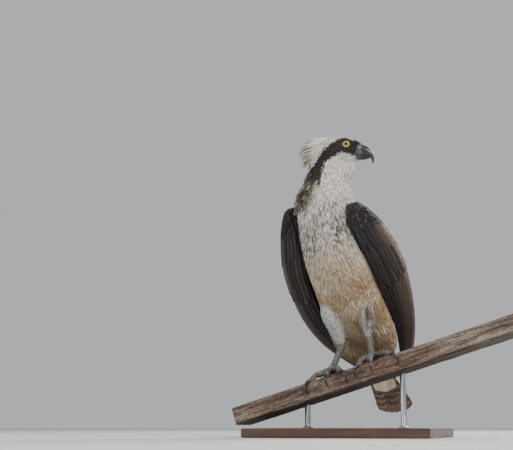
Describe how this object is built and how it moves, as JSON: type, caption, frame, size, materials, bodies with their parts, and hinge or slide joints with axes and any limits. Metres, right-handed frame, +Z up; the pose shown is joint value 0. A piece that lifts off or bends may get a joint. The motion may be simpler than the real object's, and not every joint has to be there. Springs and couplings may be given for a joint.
{
  "type": "perched osprey display model",
  "caption": "Life-size still osprey gripping a sloping cut length of timber, with folded wings and turned head, on a flat display stand.",
  "frame": {"origin": "centre of the display base's flat underside", "axes": "+Z up; the bird's breast faces -Y, its left wing is on +X and its head is turned to +X; the timber rises towards +X"},
  "size_m": [0.5491, 0.3176, 0.5271],
  "materials": {
    "base_wood": "satin varnish",
    "rod_steel": "brushed",
    "weathered_timber": "bare, grey and weathered",
    "white_feathers": "matte feather coat",
    "belly_feathers": "matte feather coat",
    "wing_feathers": "soft sheen",
    "tail_feathers": "soft sheen",
    "eye": "wet gloss",
    "bill": "smooth horn",
    "foot_skin": "scaled, dull",
    "claw": "polished horn"
  },
  "bodies": {
    "root": {"stand_base": "base_wood", "stand_rod_left": "rod_steel", "stand_rod_right": "rod_steel", "perch_beam": "weathered_timber", "head": "white_feathers", "neck": "white_feathers", "torso": "belly_feathers", "eye_left": "eye", "eye_right": "eye", "bill_upper": "bill", "bill_lower": "bill", "tail": "tail_feathers", "wing_left": "wing_feathers", "wing_right": "wing_feathers", "thigh_left": "belly_feathers", "thigh_right": "belly_feathers", "tarsus_left": "foot_skin", "tarsus_right": "foot_skin", "toe_left_inner": "foot_skin", "claw_left_inner": "claw", "toe_left_middle": "foot_skin", "claw_left_middle": "claw", "toe_left_outer": "foot_skin", "claw_left_outer": "claw", "toe_left_hind": "foot_skin", "claw_left_hind": "claw", "toe_right_inner": "foot_skin", "claw_right_inner": "claw", "toe_right_middle": "foot_skin", "claw_right_middle": "claw", "toe_right_outer": "foot_skin", "claw_right_outer": "claw", "toe_right_hind": "foot_skin", "claw_right_hind": "claw"}
  },
  "joints": []
}
